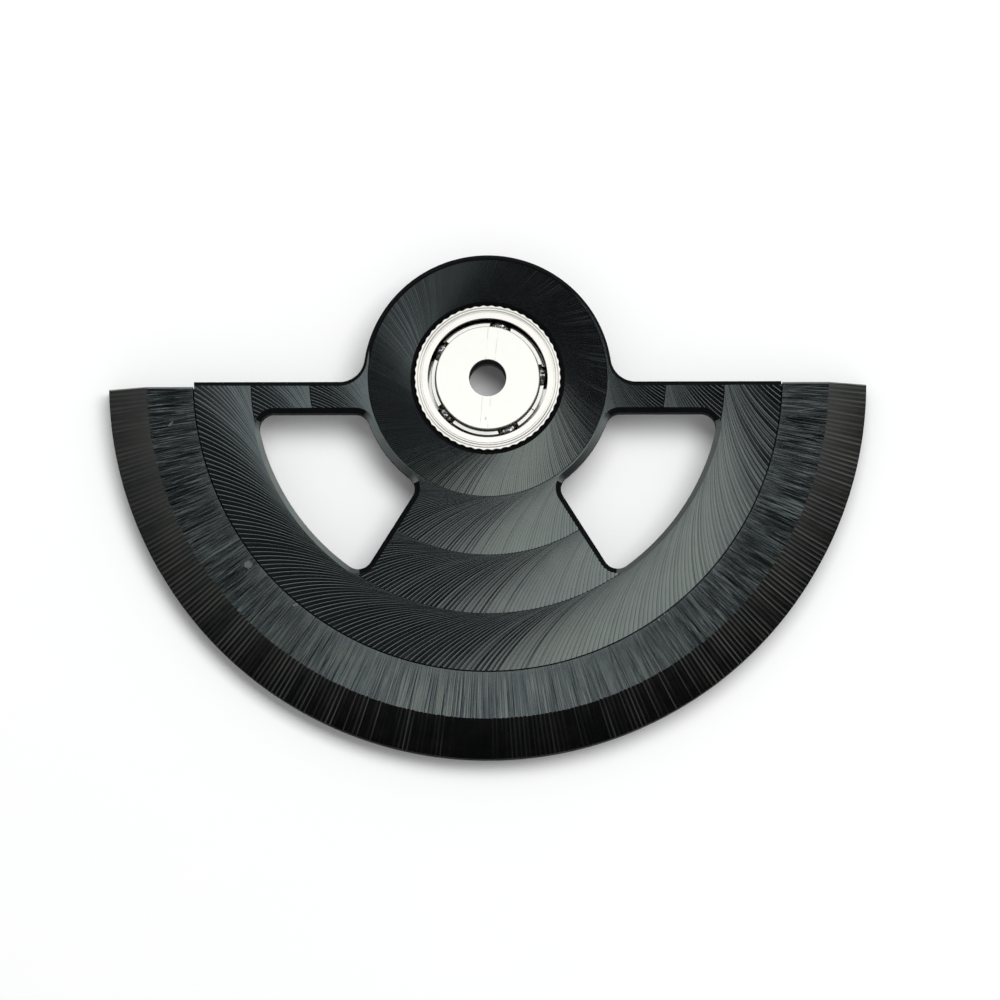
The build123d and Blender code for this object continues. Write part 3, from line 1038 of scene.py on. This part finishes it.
plate_coats = [coat_smooth, coat_bevel, coat_swirl, coat_edge_painted_shade]
rim_coats = [coat_smooth, coat_ribbed, coat_rim_bevel_painted_shade, coat_edge_painted_shade, coat_bevel]
ring_steels = [steel, track_painted_shade]
disc_steels = [steel, face_steel, bore_painted_light]
settle(rotor_plate(), "rotor", "rotor_plate", plate_coats, plate_finish, 3)
settle(rim_weight(), "rotor", "rim_weight", rim_coats, rim_finish, 20)
settle(bearing_outer_ring(), "rotor", "bearing_outer_ring", ring_steels, ring_finish, 12)
settle(inner_ring_upper(), "hub", "inner_ring_upper", disc_steels, disc_finish)
settle(inner_ring_lower(), "hub", "inner_ring_lower", [steel])
settle(ball_cage(), "cage", "ball_cage", [cage_steel])
settle(winding_gear(), "rotor", "winding_gear", [brass])

ball_pattern = ball("ball_pattern")
rivet_pattern = rim_rivet("rivet_pattern")
for number, angle in enumerate(BALL_ANGLES, start=1):
    piece = copied(ball_pattern, f"polished_ball_{number}", (*on_circle(BALL_CIRCLE_R, angle), BALL_Z))
    settle(piece, f"ball_{number}", f"ball_{number}", [ball_polish], smooth=60)
for number, angle in enumerate(RIVET_ANGLES, start=1):
    piece = copied(rivet_pattern, f"countersunk_rivet_{number}", (*on_circle(RIVET_CIRCLE_R, angle), 0))
    settle(piece, "rotor", f"rim_rivet_{number}", [rivet_steel])
for pattern in (ball_pattern, rivet_pattern):
    bpy.data.objects.remove(pattern)


# Studio

FLOOR_Z = RIM_BOTTOM
FLOOR_SIZE = 1.2
PAPER_SHADES = ((0.970, 0.978, 0.985, 1), (0.982, 0.982, 0.982, 1))

# Brightness of what mirrors see, and of the plain light that falls on dull surfaces
OVERHEAD_LEVEL = 1.2
RIGHT_WINDOW_LEVEL = 1.15
LEFT_STRIP_LEVEL = 0.7
LEFT_WALL_LEVEL = 0.20
FAR_WALL_LEVEL = 0.40
PLAIN_LEVEL = 0.42
COOL = (0.95, 0.985, 1.08, 1)
WHITE = (1.0, 1.0, 1.0, 1)

LAMP_PLACE = (0.07, 0.112, 0.308)
LAMP_SIZE = (0.35, 0.17)
LAMP_WATTS = 0.96

CAMERA_TARGET = (0.375, -4.205, 1.4)
CAMERA_DISTANCE = 0.170
CAMERA_TILT = math.radians(7)
CAMERA_TURN = math.radians(-0.11)

only(None)
bpy.ops.mesh.primitive_plane_add(size=FLOOR_SIZE, location=(0, 0, FLOOR_Z * MM))
floor = bpy.context.object
floor.name = "floor"
paper = Finish("white_paper")
grain = paper.mix(paper.noise(3.0), *PAPER_SHADES)
floor.data.materials.append(paper.surface({"Base Color": grain, "Roughness": 0.8}))

world = bpy.data.worlds.new("studio")
bpy.context.scene.world = world
world.use_nodes = True
sky = Finish("studio", world.node_tree)
way_x, way_y, way_z = sky.split(sky.node("ShaderNodeTexCoord", output="Generated"))

# How far a direction leans from straight up: 0 upright, 1 level
lean = sky.hypot(way_x, way_y) + 0.0001


def towards(azimuth):
    """Cosine of the angle, seen from above, between a direction and an azimuth."""
    return (way_x * math.cos(math.radians(azimuth)) + way_y * math.sin(math.radians(azimuth))) / lean


def lobe(azimuth, low, high):
    """Rises from 0 to 1 as a direction turns towards an azimuth."""
    return sky.ease(towards(azimuth), low, high)


def blend(share, first, second):
    return first * (1.0 - share) + second * share


# The right window and the left wall stand at other azimuths further down.
lower = sky.ease(lean, 0.24, 0.34)
lowest = sky.ease(lean, 0.42, 0.54)
right = blend(lowest, blend(lower, towards(5), towards(10)), towards(20))
left = blend(lower, towards(165), towards(178))

overhead = 1.0 - sky.ease(sky.hypot((way_x - 0.01) * 0.5, way_y - 0.130), 0.040, 0.074)
right_window = sky.ease(right, 0.81, 0.975) * (0.66 + 0.34 * sky.ease(lean, 0.15, 0.28))
right_window = right_window * (1.0 - 0.97 * sky.ease(lean, 0.50, 0.76))
left_strip = (1.0 - sky.ease(lean, 0.22, 0.30)) * lobe(158, 0.86, 0.96) * sky.ease(-way_x, 0.07, 0.13)
left_wall = LEFT_WALL_LEVEL * sky.ease(left, 0.74, 0.93) * sky.ease(lean, 0.15, 0.25)
left_wall = left_wall * (1.0 - 0.6 * sky.ease(lean, 0.45, 0.80))
high = sky.ease(way_z, 0.44, 0.54)
all_round = 0.45 - 0.17 * lobe(-90, 0.5, 0.9)
low_walls = (1.0 - high) * (0.6 * lobe(15, 0.60, 0.85) + 0.3 * lobe(200, 0.86, 0.94) + all_round)
far_wall = FAR_WALL_LEVEL * lobe(90, 0.25, 0.60) * sky.ease(lean, 0.58, 0.74) * high
room = 0.014 + 0.010 * lobe(90, 0.0, 0.9) + 0.034 * lobe(-90, 0.0, 0.9)
dim_room = room * (1.0 - 0.75 * sky.ease(lean, 0.30, 0.80))
level = sky.maths("MAXIMUM", overhead * OVERHEAD_LEVEL, right_window * RIGHT_WINDOW_LEVEL)
level = level + left_wall + LEFT_STRIP_LEVEL * left_strip + low_walls + far_wall + dim_room

glossy = sky.node("ShaderNodeLightPath", output="Is Glossy Ray")
camera_ray = sky.node("ShaderNodeLightPath", output="Is Camera Ray")
shine = sky.mix(sky.ease(right_window + low_walls + far_wall, 0.1, 0.6), COOL, WHITE)
plain_level = PLAIN_LEVEL + (1.0 - PLAIN_LEVEL) * camera_ray
mirrored = sky.node("ShaderNodeBackground", None, {"Color": shine, "Strength": level})
plain = sky.node("ShaderNodeBackground", None, {"Color": WHITE, "Strength": plain_level})
both = sky.node("ShaderNodeMixShader", None, {0: glossy, 1: plain, 2: mirrored})
sky.node("ShaderNodeOutputWorld", None, {"Surface": both})

lamp_data = bpy.data.lights.new("soft_lamp", "AREA")
lamp_data.shape = "RECTANGLE"
lamp_data.size, lamp_data.size_y = LAMP_SIZE
lamp_data.energy = LAMP_WATTS
lamp = bpy.data.objects.new("soft_lamp", lamp_data)
lamp.location = LAMP_PLACE
lamp.rotation_mode = "QUATERNION"
lamp.rotation_quaternion = Vector(LAMP_PLACE).to_track_quat("Z", "Y")
lamp.visible_glossy = False
bpy.context.scene.collection.objects.link(lamp)

camera_data = bpy.data.cameras.new("camera")
camera_data.lens = 179.5
camera_data.sensor_width = 36
camera_data.clip_start = 0.01
camera_data.clip_end = 10
camera = bpy.data.objects.new("camera", camera_data)
backwards = Vector((0, -math.sin(CAMERA_TILT), math.cos(CAMERA_TILT)))
camera.location = Vector(CAMERA_TARGET) * MM + backwards * CAMERA_DISTANCE
camera.rotation_mode = "XYZ"
camera.rotation_euler = (CAMERA_TILT, 0, CAMERA_TURN)
bpy.context.scene.collection.objects.link(camera)
bpy.context.scene.camera = camera
bpy.context.scene.view_settings.view_transform = "Standard"
